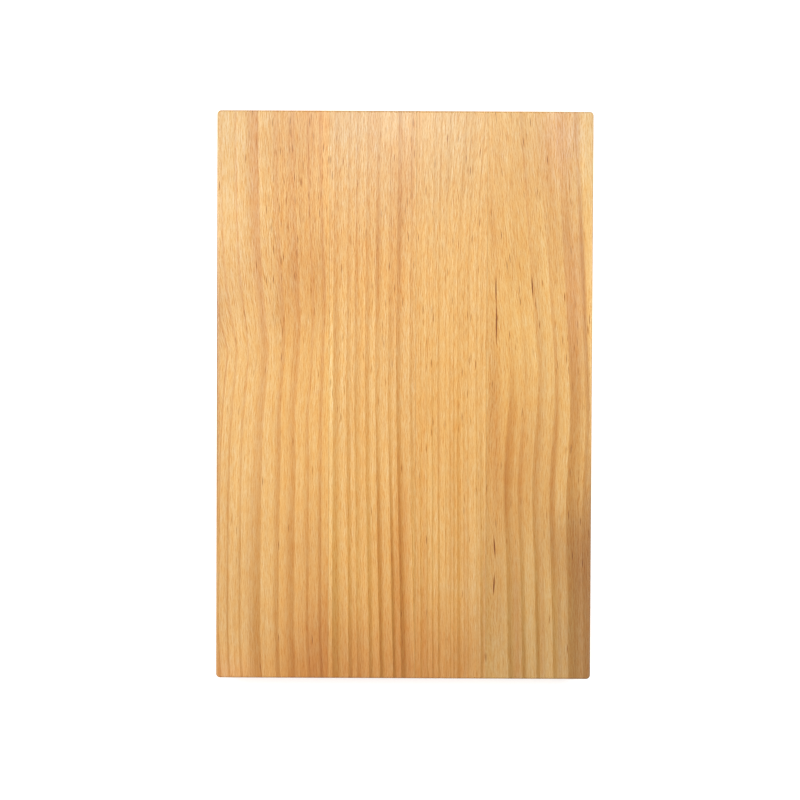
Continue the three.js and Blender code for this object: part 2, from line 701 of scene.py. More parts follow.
@dataclass(frozen=True)
class Wave(Figure):
    """Rings that wave along the stave, by a shift in millimetres at each station along it."""

    stations: tuple[float, ...] = (-150.0, -88.0, -52.0, 15.0, 60.0, 150.0)
    shifts: tuple[float, ...] = (3.0, 1.4, -0.1, 2.7, -1.0, -8.3)

    def wander(self, across: np.ndarray, along: np.ndarray) -> np.ndarray:
        """Reads the wave, later and weaker towards the outer edge, and held back by the joint."""
        outer = np.clip((across - 170.0) / 16.0, 0.0, 1.5)
        shift = smooth_path(self.stations, self.shifts, along + 12.0 * outer) * (1.0 - 0.3 * outer)
        freed = np.clip((across - 140.0) / 10.0, 0.3, 1.0)
        return np.minimum(shift, 0.0) + np.maximum(shift, 0.0) * freed


@dataclass(frozen=True)
class OiledPine:
    """Plantation pine, planed, sanded and rubbed with a clear satin oil.

    Pale earlywood darkens slowly into latewood and starts again at a sharp edge. Resin canals are short
    dark dashes, and the oil gives an even, soft sheen with no film. Darkening is in optical density, and
    lengths are in millimetres.

    Attributes:
        middle, ground: the wood's middle tone, and how dark the palest earlywood is against it.
        band, slope: what latewood adds, and what the whole ring adds by its sharp edge.
        plateau, sharp_edge: the evenly dark share of latewood, and what its edge takes of the next ring.
        waver: how far the flames move a ring's edge, in rings.
        fibre, canal, pitch: what cut fibres, resin canals and pitch pockets add.
        arris, end_grain: what the arrises add, partly oil that they drink and partly painted shade of the
            roundover, and what end grain adds.
        bundle, stroke: the width of a bundle of cut fibres and the length of a stroke in it.
        canal_cell: the room of one resin canal across the grain, along it and through it.
        canal_core, canal_rim: where a canal begins to fade and where it ends, in cells.
        patchiness: how much the mottle changes the share of open canals.
        pitch_depth: how deep a pitch pocket reaches.
        roughness, gloss_change, ior: the oil's gloss, and how much cut fibres dull it.
        relief, relief_strength: the height of the cut fibres in metres, and how much of it shows.
    """

    middle: str
    ground: float = -0.06
    band: float = 0.28
    slope: float = 0.05
    plateau: float = 0.22
    sharp_edge: float = 0.05
    waver: float = 0.16
    fibre: float = 1.75
    canal: float = 2.1
    pitch: float = 2.2
    arris_oil_and_shade: float = 0.4
    end_grain: float = 0.22
    bundle: float = 0.4
    stroke: float = 5.8
    canal_cell: tuple[float, float, float] = (0.9, 12.0, 0.9)
    canal_core: float = 0.06
    canal_rim: float = 0.26
    patchiness: float = 0.45
    pitch_depth: float = 2.0
    roughness: float = 0.30
    gloss_change: float = 0.05
    ior: float = 1.48
    relief: float = 0.00006
    relief_strength: float = 0.15

    def material(self, name: str, figure: Figure, form: PanelForm) -> Material:
        """Builds the wood's material for one stave.

        All features add up to an optical density, and the wood keeps its exponential, channel by channel.

        Args:
            name: the material's name.
            figure: the stave's figure, for its pitch pockets.
            form: the panel, for their place.

        Returns:
            The material, which reads the stave's grain, ring, life and stain_and_light attributes, the last
            with painted shade and sheen.
        """
        material = empty_material(name)
        tree = material.node_tree
        grain, ring_source, life_source, stain_and_light = (
            add_node(tree, "ShaderNodeAttribute", attribute_name=field).outputs["Vector"]
            for field in ("grain", "ring", "life", "stain_and_light"))
        ring = add_node(tree, "ShaderNodeSeparateXYZ", (ring_source,)).outputs
        life = add_node(tree, "ShaderNodeSeparateXYZ", (life_source,)).outputs
        fibre = self.fibres(tree, grain)
        noise = {kind: self.uneven(tree, grain, kind) for kind in Unevenness}
        within, band = self.latewood(tree, noise[Unevenness.FLAME], ring)
        canal = self.canals(tree, grain, noise[Unevenness.MOTTLE], life["X"])
        arris_oil_and_shade, end_grain = self.thirsty_and_shaded(tree)

        dark = self.ground
        layers = (
            *((noise[kind], kind.value[-1]) for kind in Unevenness if kind is not Unevenness.YELLOW),
            (within, self.slope), (band, self.band), (canal, self.canal),
            *((slit, self.pitch) for slit in self.pitch_slits(tree, figure, form)),
            # The arrises' darkening is partly painted shade of the roundover
            (arris_oil_and_shade, self.arris_oil_and_shade), (end_grain, self.end_grain))
        for layer, amount in layers:
            dark = add_node(tree, "ShaderNodeMath", (layer, amount, dark), operation="MULTIPLY_ADD")
        strokes = add_node(tree, "ShaderNodeMath", (fibre, life["Y"]), operation="MULTIPLY")
        ochre = add_node(tree, "ShaderNodeMath", (band, life["Z"]), operation="MULTIPLY")
        density = stain_and_light
        measures = (
            (dark, 1.0, Tint.WOOD), (strokes, self.fibre, Tint.FIBRE),
            (noise[Unevenness.YELLOW], Unevenness.YELLOW.value[-1], Tint.STRAW), (ochre, 1.0, Tint.OCHRE))
        for measure, amount, tint in measures:
            absorbed = tuple(-amount * share for share in tint.value)
            density = add_node(
                tree, "ShaderNodeVectorMath", (measure, absorbed, density), operation="MULTIPLY_ADD")
        channels = add_node(tree, "ShaderNodeSeparateXYZ", (density,)).outputs
        kept = [add_node(tree, "ShaderNodeMath", (channel,), operation="EXPONENT") for channel in channels]
        share = add_node(tree, "ShaderNodeCombineXYZ", kept)
        middle = linear(self.middle)[:3]
        colour = add_node(tree, "ShaderNodeVectorMath", (share, middle), operation="MULTIPLY")

        gloss = add_node(
            tree, "ShaderNodeMath", (fibre, self.gloss_change, self.roughness), operation="MULTIPLY_ADD")
        hollow = add_node(tree, "ShaderNodeMath", (canal, -0.5, fibre), operation="MULTIPLY_ADD")
        bump = add_node(
            tree, "ShaderNodeBump",
            {"Height": hollow, "Strength": self.relief_strength, "Distance": self.relief})
        shader = add_node(
            tree, "ShaderNodeBsdfPrincipled",
            {"Base Color": colour, "Roughness": gloss, "IOR": self.ior, "Normal": bump})
        add_node(tree, "ShaderNodeOutputMaterial", {"Surface": shader})
        return material

    def latewood(self, tree: NodeTree, flame: Node, ring: dict[str, NodeSocket]) -> tuple[Node, Node]:
        """Draws the rings.

        The fraction of the wavering ring count runs from the palest wood to the sharp edge. The latewood
        rises smoothly over the last share of the ring, and falls at the start of the next.

        Args:
            tree: the material's nodes.
            flame: the noise that makes the rings waver.
            ring: the ring count X, the latewood's depth Y and its share of the ring Z.

        Returns:
            The fraction within the ring, and the latewood times its depth.
        """
        count = add_node(tree, "ShaderNodeMath", (flame, self.waver, ring["X"]), operation="MULTIPLY_ADD")
        within = add_node(tree, "ShaderNodeMath", (count,), operation="FRACT")
        start = add_node(tree, "ShaderNodeMath", (1.0, ring["Z"]), operation="SUBTRACT")
        level = add_node(tree, "ShaderNodeMath", (ring["Z"], -self.plateau, 1.0), operation="MULTIPLY_ADD")
        rise = add_node(
            tree, "ShaderNodeMapRange", {"Value": within, "From Min": start, "From Max": level},
            interpolation_type="SMOOTHSTEP")
        fall = add_node(
            tree, "ShaderNodeMapRange",
            {"Value": within, "From Max": self.sharp_edge, "To Min": 1.0, "To Max": 0.0},
            interpolation_type="SMOOTHSTEP")
        late = add_node(tree, "ShaderNodeMath", (rise, fall), operation="MAXIMUM")
        return within, add_node(tree, "ShaderNodeMath", (late, ring["Y"]), operation="MULTIPLY")

    def canals(self, tree: NodeTree, grain: NodeSocket, mottle: Node, share: NodeSocket) -> Node:
        """Draws resin canals as short dashes along the grain, one in each cell of the wood.

        A canal shows where its cell's lot, from 0 to 1, is below the share of open canals, the lower the
        stronger. Canals are 0.2 mm wide in pine, and are drawn 0.3 mm wide so that they show.

        Args:
            tree: the material's nodes.
            grain: the grain coordinates in millimetres.
            mottle: the noise that makes the share patchy.
            share: the share of open canals.

        Returns:
            A mask that is 1 in the middle of the strongest canals.
        """
        scale = tuple(1.0 / size for size in self.canal_cell)
        cells = add_node(tree, "ShaderNodeVectorMath", (grain, scale), operation="MULTIPLY")
        voronoi = add_node(tree, "ShaderNodeTexVoronoi", {"Vector": cells, "Scale": 1.0, "Randomness": 1.0})
        lot = add_node(tree, "ShaderNodeSeparateColor", (voronoi.outputs["Color"],))
        patchy = add_node(
            tree, "ShaderNodeMath", (mottle, self.patchiness, share), operation="MULTIPLY_ADD")
        # A share of nought or less would draw every canal
        open_share = add_node(tree, "ShaderNodeMath", (patchy, 0.001), operation="MAXIMUM")
        shown = add_node(
            tree, "ShaderNodeMapRange",
            {"Value": lot, "From Max": open_share, "To Min": 1.0, "To Max": 0.0})
        dash = add_node(
            tree, "ShaderNodeMapRange",
            {"Value": voronoi.outputs["Distance"], "From Min": self.canal_core, "From Max": self.canal_rim,
             "To Min": 1.0, "To Max": 0.0})
        return add_node(tree, "ShaderNodeMath", (dash, shown), operation="MULTIPLY")

    def thirsty_and_shaded(self, tree: NodeTree) -> tuple[Node, Node]:
        """Finds the sanded arrises and the end grain, where cut fibres drink more oil and darken. On the
        arrises the darkening is partly painted shade of the roundover.

        An arris is h (1 - h), where h is the square of the normal's height. The end grain is where the
        normal points along the board by more than 0.7.

        Args:
            tree: the material's nodes.

        Returns:
            The arrises, up to a quarter, and the end grain, up to 1.
        """
        normal = add_node(tree, "ShaderNodeNewGeometry").outputs["Normal"]
        facing = add_node(tree, "ShaderNodeSeparateXYZ", (normal,)).outputs
        height = add_node(tree, "ShaderNodeMath", (facing["Z"], facing["Z"]), operation="MULTIPLY")
        rest = add_node(tree, "ShaderNodeMath", (1.0, height), operation="SUBTRACT")
        arris_oil_and_shade = add_node(tree, "ShaderNodeMath", (height, rest), operation="MULTIPLY")
        endwise = add_node(tree, "ShaderNodeMath", (facing["Y"],), operation="ABSOLUTE")
        return arris_oil_and_shade, add_node(tree, "ShaderNodeMapRange", {"Value": endwise, "From Min": 0.7})

    def fibres(self, tree: NodeTree, grain: NodeSocket) -> Node:
        """Draws cut fibres as short strokes along the grain, about zero and stronger on the dark side.

        Each bundle of fibres is a square column along the grain that reads the noise far from where its
        neighbours do, less half of its neighbour's stroke, which sets them apart. Fibres are 0.03 mm wide
        in pine, and the bundles are drawn more than ten times as wide so that they show.

        Args:
            tree: the material's nodes.
            grain: the grain coordinates in millimetres.

        Returns:
            The strokes less their mean.
        """
        size = (self.bundle, self.stroke, self.bundle)
        scaled = add_node(tree, "ShaderNodeVectorMath", (grain, size), operation="DIVIDE")
        column = add_node(tree, "ShaderNodeVectorMath", (scaled,), operation="FLOOR")
        along = add_node(tree, "ShaderNodeVectorMath", (scaled, (0.0, 1.0, 0.0)), operation="MULTIPLY")
        # How far apart neighbouring columns read the noise, across and through
        jump, leap = 7.31, 5.17
        # How much stronger the dark side is, and the mean that this adds
        skew, excess = 0.4, 0.045
        place = add_node(
            tree, "ShaderNodeVectorMath", (column, (jump, 0.0, leap), along), operation="MULTIPLY_ADD")
        beside = add_node(tree, "ShaderNodeVectorMath", (place, (jump, 0.0, 0.0)))
        own, other = (
            add_node(
                tree, "ShaderNodeTexNoise", {"Vector": at, "Scale": 1.0, "Detail": 2.0, "Roughness": 0.7})
            for at in (place, beside))
        apart = add_node(tree, "ShaderNodeMath", (other, -0.5, own), operation="MULTIPLY_ADD")
        level = add_node(tree, "ShaderNodeMath", (apart, 0.25), operation="SUBTRACT")
        depth = add_node(tree, "ShaderNodeMath", (level,), operation="ABSOLUTE")
        skewed = add_node(tree, "ShaderNodeMath", (depth, skew, level), operation="MULTIPLY_ADD")
        return add_node(tree, "ShaderNodeMath", (skewed, excess), operation="SUBTRACT")

    def uneven(self, tree: NodeTree, grain: NodeSocket, kind: Unevenness) -> Node:
        """Draws one kind of unevenness, about zero.

        Args:
            tree: the material's nodes.
            grain: the grain coordinates in millimetres.
            kind: the size and the octaves of the noise.

        Returns:
            The noise less its mean.
        """
        width, length, octaves, _ = kind.value
        scale = (1.0 / width, 1.0 / length, 1.0 / width)
        stretched = add_node(tree, "ShaderNodeVectorMath", (grain, scale), operation="MULTIPLY")
        noise = add_node(
            tree, "ShaderNodeTexNoise",
            {"Vector": stretched, "Scale": 1.0, "Detail": octaves, "Roughness": 0.6})
        return add_node(tree, "ShaderNodeMath", (noise, 0.5), operation="SUBTRACT")

    def pitch_slits(self, tree: NodeTree, figure: Figure, form: PanelForm) -> list[Node]:
        """Draws the stave's pitch pockets as slim ellipsoids in the serving face, soft at the rim.

        Args:
            tree: the material's nodes.
            figure: the stave's figure.
            form: the panel.

        Returns:
            For each pocket, a mask that is 1 in its middle.
        """
        slits = []
        for pocket in figure.pockets:
            place = add_node(tree, "ShaderNodeTexCoord").outputs["Object"]
            centre = (pocket.across - form.width / 2, pocket.along, form.thickness)
            halves = (pocket.half_width, pocket.half_length, self.pitch_depth)
            local = add_node(
                tree, "ShaderNodeMapping",
                {"Vector": place, "Location": tuple(length * MM for length in centre),
                 "Rotation": (0.0, 0.0, math.radians(pocket.lean)),
                 "Scale": tuple(length * MM for length in halves)},
                vector_type="TEXTURE")
            reach = add_node(tree, "ShaderNodeVectorMath", (local,), operation="LENGTH").outputs["Value"]
            slits.append(add_node(
                tree, "ShaderNodeMapRange", {"Value": reach, "From Min": 0.2, "To Min": 1.0, "To Max": 0.0},
                interpolation_type="SMOOTHSTEP"))
        return slits


@dataclass(frozen=True)
class CuredGlue:
    """Wood glue, cured in the joint, scraped and sanded flush: a hair line of amber, duller than the wood.

    Attributes:
        pale, dark: its colours where it pools and where it is starved.
        starved, pooled: the levels of the noise where those colours are reached.
        pool_length: how often glue pools along a joint, in millimetres.
        roughness, ior: its gloss.
    """

    pale: str = "#D2A05C"
    dark: str = "#A87842"
    starved: float = 0.3
    pooled: float = 0.7
    pool_length: float = 20.0
    roughness: float = 0.45
    ior: float = 1.47

    def material(self) -> Material:
        """Builds the glue's material, mottled along the joint."""
        material = empty_material("cured_wood_glue_sanded")
        tree = material.node_tree
        place = add_node(tree, "ShaderNodeTexCoord").outputs["Object"]
        scale = 1.0 / (self.pool_length * MM)
        pools = add_node(tree, "ShaderNodeTexNoise", {"Vector": place, "Scale": scale, "Detail": 3.0})
        ramp = add_node(tree, "ShaderNodeValToRGB", (pools,))
        stops = ((self.starved, self.dark), (self.pooled, self.pale))
        for stop, (position, colour) in zip(ramp.color_ramp.elements, stops):
            stop.position = position
            stop.color = linear(colour)
        shader = add_node(
            tree, "ShaderNodeBsdfPrincipled",
            {"Base Color": ramp, "Roughness": self.roughness, "IOR": self.ior})
        add_node(tree, "ShaderNodeOutputMaterial", {"Surface": shader})
        return material


@dataclass(frozen=True)
class Layer:
    """One layer across the board, which stands for a node of the frame."""

    node: str
    form: PanelForm

    def sides(self) -> tuple[float, float]:
        """Gives the layer's left and right joint planes in millimetres, from the frame."""
        low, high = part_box(self.node)
        return low.x / MM, high.x / MM

    def surface(self, ending: str) -> tuple[Object, np.ndarray]:
        """Builds the layer's eased surface.

        Args:
            ending: what the piece's name adds to the node's.

        Returns:
            The piece, and its points in millimetres.
        """
        block = LatticeBlock.ruled(self.form.lines(*self.sides()))
        points = self.form.ease(block.points)
        return block.to_object(f"{self.node}_{ending}", points), points

    def settle(self, piece: Object, material: Material, slot: str) -> None:
        """Dresses a piece and puts it in the node's place.

        Args:
            piece: the layer's piece.
            material: its finish.
            slot: not used.
        """
        piece.data.materials.append(material)
        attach(piece, "root")
        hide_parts(self.node)
        log.info("%s: %d faces, finish %s", piece.name, len(piece.data.polygons), material.name)


@dataclass(frozen=True)
class Stave(Layer):
    """A full-length pine stave."""

    figure: Figure
    finish: OiledPine

    def build(self) -> None:
        """Builds the stave, writes its wood into its points and dresses it."""
        piece, points = self.surface("wood")
        self.write_wood(piece.data, points)
        material = self.finish.material(f"oiled_pine_{self.node}", self.figure, self.form)
        self.settle(piece, material, "oiled_pine")

    def write_wood(self, mesh: Mesh, points: np.ndarray) -> None:
        """Stores the wood's own coordinates, rings and tones at the stave's points, the tones with painted
        shade and sheen at the ends.

        Args:
            mesh: the stave's mesh.
            points: its points in millimetres.
        """
        left, right = self.sides()
        face = self.figure.across_face(points, left, right, self.form)
        along = points[:, 1]
        across = face - self.figure.wander(face, along)
        fields = {
            "grain": np.column_stack([across, along, points[:, 2]]),
            "ring": self.figure.ring_field(across, along),
            "life": self.figure.life_field(face, along),
            "stain_and_light": self.figure.stain_and_light_field(across, face, along),
        }
        for name, field in fields.items():
            attribute = mesh.attributes.new(name, "FLOAT_VECTOR", "POINT")
            attribute.data.foreach_set("vector", field.astype(np.float32).ravel())


@dataclass(frozen=True)
class GlueLine(Layer):
    """The cured glue film in a joint."""

    def build(self, material: Material) -> None:
        """Builds the film and dresses it with the glue's material."""
        piece, _ = self.surface("film")
        self.settle(piece, material, "cured_glue")


LEFT_FIGURE = KnotSwirl(
    growth=Growth.RIGHT, pith_beyond=48.0, pith_below=52.0, ochre_near=0.0, ochre_far=-0.35,
    rings=(
        Ring(1.5, 1.1, 0.3, 0.9, 0.9), Ring(6.5, 1.4, 0.3, 0.85, 1.15), Ring(12.7, 1.1, 0.4, 0.85, 1.1),
        Ring(23.4, 6.6, 1.05, 0.75, 1.35), Ring(33.2, 3.8, 0.5, 0.85, 1.2), Ring(41.8, 5.4, 0.6, 0.75, 1.1),
        Ring(49.4, 1.9, 0.6, 0.8, 0.9), Ring(55.8, 2.4, 0.6, 0.75, 1.3),
    ),
    streaks=(
        *Streak.group(Tint.STRAW, (35.2, 1.6, 0.4), (57.6, 2, 0.45)),
        *Streak.group(Tint.AMBER, (35.5, 2.5, 0.2, 180, 30), (44.5, 2.5, 0.15, 180, 55),
            (0.6, 1.2, 0.6, -130, -400), (37.2, 1.5, 0.18, -70, -125), (50.8, 1.3, 0.3, 400, 65),
            (50.8, 1.3, 0.35, -120, -400), (57.6, 2, 0.3, -100, -400)),
        *Streak.group(Tint.BROWN, (18, 3.2, 0.16, 400, 70), (17.8, 2.2, 0.22, -45, -400)),
    ),
    tone_and_light_patches=(
        # At the ends some patches are painted light: the pink straw at the far end is painted sheen, the
        # grey there painted shade, and the deep amber at the near end painted shade
        *ToneAndLightPatch.group(Tint.STRAW, (4, 130, 14, 60, -0.8), (48, 0, 17, 200, 0.6), (30, 152, 16, 9, -0.8),
            (46, 66, 14, 24, 0.25), (30, -152, 36, 13, 0.6)),
        *ToneAndLightPatch.group(Tint.BROWN, (0, 44, 6, 26, 0.42), (40, 90, 16, 50, 0.12), (49, 50, 13, 22, 0.12),
            (4, -85, 4.5, 60, 0.14), (26, 66, 30, 28, 0.15), (27, 135, 6, 25, 0.15),
            (10, -95, 12, 28, 0.09), (50, -80, 14, 14, 0.1), (0.3, -8, 1.2, 70, 0.9), (11, 55, 5, 22, 0.14),
            (32, 45, 4, 14, 0.16), (39.5, 64, 3, 14, 0.2), (55.5, 76, 2.5, 26, 0.16)),
        *ToneAndLightPatch.group(Tint.AMBER, (50, 155, 18, 36, 0.3), (56, -155, 22, 50, 1.15), (15, -155, 25, 40, 0.2),
            (45, -70, 8, 24, 0.15), (52, 65, 8, 22, 0.1), (46, -143, 10, 10, 0.08),
            (59.2, 5, 1.3, 36, -0.3)),
        *ToneAndLightPatch.group(Tint.GREY, (4, 145, 9, 30, 0.12), (40, 133, 24, 14, 0.08)),
        *ToneAndLightPatch.group(Tint.ROSE, (6, -152, 16, 13, 0.4)),
    ),
    flecks=(
        Flecks(39, 95, 14, 55, 1.1, 0.2), Flecks(2, 112, 14, 48, -0.35, -0.38),
    ),
)

CENTRE_LEFT_FIGURE = Fan(
    growth=Growth.LEFT, pith_beyond=85.0, pith_below=34.0, ochre_near=0.3, ochre_far=-0.12,
    rings=(
        Ring(61.5, 5, 0.5, 0.8, 1.25), Ring(68.8, 2.5, 0.4, 0.85, 1.1), Ring(72.8, 3.4, 0.5, 1, 0.55),
        Ring(78.5, 3, 0.6, 0.95, 1.3), Ring(83.9, 2.9, 0.45, 0.85, 1.85), Ring(90.7, 2.3, 0.5, 0.8, 2),
        Ring(94.9, 3.4, 1.35, 1.5, 1.75), Ring(102.1, 2.4, 0.6, 0.8, 0.5),
    ),
    streaks=(
        *Streak.group(Tint.AMBER, (60.5, 1.2, -0.26, 50, -100), (82.3, 1, -0.12, 70, -60),
            (93.4, 1.4, 0.35, 125, 20), (98, 1.5, 0.25, 120, 40), (100.4, 3, 0.35, 138, 95, 12),
            (66.3, 1.3, -0.12, 60, -60), (84.6, 1.4, 0.35, 108, 55), (60.3, 1, 0.25, 120, 70),
            (82, 1.4, 0.25, 400, 108), (84.8, 1.5, 0.4, -45, -118), (95.9, 1.7, 0.4, -45, -115),
            (91.4, 1.2, 0.4, -45, -120), (87, 1.4, 0.2, -70, -125), (69.6, 1, 0.3, -125, -400, 10),
            (73.6, 1.3, 0.3, -125, -400, 10), (98.6, 2.1, 0.42, -45, -400), (93.6, 1.4, 0.5, -65, -400)),
        *Streak.group(Tint.STRAW, (77, 2.4, 0.5, 75, -40), (84.4, 1.5, 0.5, -60, -135),
            (91.2, 1.3, 0.6, -65, -135), (95.6, 1.8, 0.7, -30, -135)),
    ),
    tone_and_light_patches=(
        # At the ends some patches are painted light: the pink straw at the far end is painted sheen, the
        # grey there painted shade, and the broad amber at the near end painted shade
        *ToneAndLightPatch.group(Tint.STRAW, (70, 150, 16, 40, -0.5), (80, -100, 45, 75, 0.5), (95, 60, 12, 16, 0.4),
            (96, 152, 11, 10, -0.75), (78, 70, 30, 26, 0.25), (62, -108, 10, 16, -0.3)),
        *ToneAndLightPatch.group(Tint.AMBER, (80, -155, 60, 36, 0.88), (70, 80, 15, 32, 0.12), (60, 8, 1.4, 34, -0.3)),
        *ToneAndLightPatch.group(Tint.GREY, (82, 155, 60, 46, 0.16), (68, 140, 14, 14, 0.1)),
        *ToneAndLightPatch.group(Tint.BROWN, (89, 95, 13, 32, 0.12)),
    ),
)

CENTRE_RIGHT_FIGURE = Drift(
    growth=Growth.LEFT, pith_beyond=90.0, pith_below=30.0, ochre_near=0.25, ochre_far=-0.05,
    rings=(
        Ring(107.3, 1.8, 0.3, 0.4, 0.8), Ring(110.7, 1.1, 0, 0.5, 0.8), Ring(113.6, 1.2, 0, 0.6, 1),
        Ring(116.7, 1.5, 0.6, 0.5, 1.1), Ring(120.6, 1.4, 0.1, 0.3, 0.25), Ring(122.8, 1.4, 0.1, 0.6, 0.6),
        Ring(124.8, 1.4, 0, 0.7, 0.8), Ring(126.8, 2.8, 0.4, 0.6, 1), Ring(130.3, 1.1, 0.5, 0.4, 0.4),
        Ring(132.2, 1.4, 0.4, 0.4, 0.6), Ring(136.9, 1.6, 0.4, 0.7, 0.25), Ring(139.1, 2.2, 0.3, 0.4, 1.2),
    ),
    streaks=(
        *Streak.group(Tint.STRAW, (108.2, 1.6, 0.4, 0, -400), (127.8, 1.6, 0.5, 20, -400)),
        *Streak.group(Tint.AMBER, (124, 1.5, 0.15, 15, -100), (106, 1.2, 0.2),
            (131.6, 1.5, 0.22, -40, -400), (117.3, 1, 0.4, 0, -55), (109.6, 1, 0.3, -5, -400),
            (112.2, 0.8, 0.25, 75, 25), (113, 3.5, 0.22, -125, -400)),
        *Streak.group(Tint.BROWN, (115.2, 1, 0.18, 400, 60), (120.2, 1.2, 0.14, 400, 60),
            (138.6, 0.9, 0.2, -30, -95)),
    ),
    tone_and_light_patches=(
        # At the ends some patches are painted light: the pink straw at the far end is painted sheen, the
        # grey painted shade, and the broad amber at the near end painted shade
        *ToneAndLightPatch.group(Tint.STRAW, (122, 150, 24, 40, -0.35), (136, -70, 8, 110, -0.25),
            (122, -12, 22, 38, 0.3), (132, 145, 12, 30, -0.35), (134, -104, 8, 14, -0.4)),
        *ToneAndLightPatch.group(Tint.AMBER, (112, -155, 34, 46, 0.78), (129, -70, 7, 36, 0.12)),
        *ToneAndLightPatch.group(Tint.GREY, (141, -135, 7, 40, 0.2), (118, 155, 30, 46, 0.18),
            (118, 115, 22, 25, 0.08)),
        *ToneAndLightPatch.group(Tint.BROWN, (128, -140, 6, 16, 0.15), (142, -100, 0.9, 45, 0.38)),
    ),
    flecks=(
        Flecks(134, -35, 9, 90, 0.65), Flecks(106, -30, 5, 60, 0.2, 0.25),
    ),
)

RIGHT_FIGURE = Wave(
    growth=Growth.LEFT, pith_beyond=50.0, pith_below=46.0, ochre_near=0.2, ochre_far=-0.3,
    rings=(
        Ring(142.5, 4, 0, 0.45, 0.45), Ring(152.2, 4.4, 0, 0.3, 1.35), Ring(159.6, 2.8, 0, 0.2, 1.35),
        Ring(167.1, 3.2, 0.4, 0.65, 1.5), Ring(176.6, 3.4, 0.15, 0.95, 1.1), Ring(185.1, 9, 0.5, 1.3, 1.3),
    ),
    streaks=(
        *Streak.group(Tint.BROWN, (155.2, 2.8, 0.25, -5, -75), (169.8, 1.8, 0.2, 70, -90),
            (192, 5, 0.2, 85, -15, 18, 6), (194.9, 0.7, 0.4, 110, -45),
            (199.5, 3.5, -0.27, 400, -36, 10, 12), (186, 1.2, 0.25, 35, -15),
            (152.9, 1.1, 0.25, 8, -60, 10), (191, 5, 0.22, -62, -108), (180.2, 1, 0.3, -85, -400),
            (199.5, 3.5, 0.22, 400, 100, 30, 12), (193, 8.5, 0.85, -60, -400),
            (198.4, 3.2, 0.7, -26, -400, 10)),
        *Streak.group(Tint.STRAW, (157.2, 1.6, -0.3, 120, 45), (169.5, 2.2, -0.3, 65, 25),
            (153.8, 2.6, 0.8, 0, -60)),
        *Streak.group(Tint.AMBER, (149.6, 2, 0.2, 120, 50), (161, 1.7, 0.35, -8, -70),
            (157, 2.4, 0.65, -85, -400), (170.6, 1.6, 0.35, -80, -400), (177.8, 1.8, 0.4, -10, -92),
            (181, 2.5, 0.38, 140, 60), (155, 5, -0.12, 60, 12), (171.5, 2, 0.15, 110, 60)),
    ),
    tone_and_light_patches=(
        # At the ends some patches are painted light: the pink straw and the rose at the far end are painted
        # sheen, and the broad grey at the near end is painted shade
        *ToneAndLightPatch.group(Tint.STRAW, (155, 65, 11, 50, 0.5), (196, 145, 22, 48, -1.1),
            (170, 150, 24, 34, -0.65), (154, -22, 10, 45, 0.5), (185.5, -126, 5, 12, -0.45)),
        *ToneAndLightPatch.group(Tint.GREY, (170, -150, 50, 75, 0.42)),
        *ToneAndLightPatch.group(Tint.AMBER, (160, -38, 24, 36, 0.32), (147.4, -16, 2.8, 46, 0.5),
            (164, 122, 22, 36, 0.26), (145.5, 85, 3, 22, 0.2), (148, 133, 6, 14, 0.12),
            (193.5, -86, 3.5, 14, 0.12), (148.5, -100, 5, 36, 0.28), (192, -90, 6, 20, 0.15),
            (170, 100, 6, 12, -0.12)),
        *ToneAndLightPatch.group(Tint.BROWN, (174, -74, 8, 16, 0.1), (181, -80, 6, 18, 0.25), (181, 151, 8, 9, -0.13),
            (188.3, 142, 1.8, 11, 0.2), (186.2, 122, 1.5, 9, 0.13), (191.8, 122, 1.7, 11, -0.16),
            (142.5, -100, 1.1, 55, 0.22), (156.2, 70, 2, 16, 0.18), (183, 86, 3, 14, 0.2),
            (191.8, 78, 1.8, 12, 0.22)),
        *ToneAndLightPatch.group(Tint.ROSE, (181, 138, 11, 26, 0.4), (190, 55, 6, 40, 0.3)),
    ),
    flecks=(
        Flecks(197.5, 92, 6, 40, -0.3, -0.35), Flecks(190, -70, 9, 90, 0.3, 0.5),
        Flecks(146, -50, 7, 120, 0.2, 0.3), Flecks(172, -60, 8, 40, 0.1, 0.3),
    ),
    pockets=(
        PitchPocket(147.66, 38.5, 0.5, 14.5, 0.5), PitchPocket(147.3, 56, 0.45, 9, 0.5),
        PitchPocket(166.5, 57.7, 0.45, 7.5, 4), PitchPocket(147.3, -80, 0.5, 7, 4),
        PitchPocket(147.1, -100, 0.5, 7, -2),
    ),
)


@dataclass(frozen=True)
class SoftLamp:
    """A round soft lamp that shines at the middle of the board, in metres and watts."""

    name: str
    place: tuple[float, float, float]
    size: float
    power: float

    def build(self) -> None:
        """Hangs the lamp and turns it towards the board."""
        data = bpy.data.lights.new(self.name, "AREA")
        data.shape = "DISK"
        data.size = self.size
        data.energy = self.power
        lamp = bpy.data.objects.new(self.name, data)
        lamp.location = self.place
        lamp.rotation_euler = lamp.location.to_track_quat("Z", "Y").to_euler()
        lamp.visible_camera = False
        bpy.context.scene.collection.objects.link(lamp)


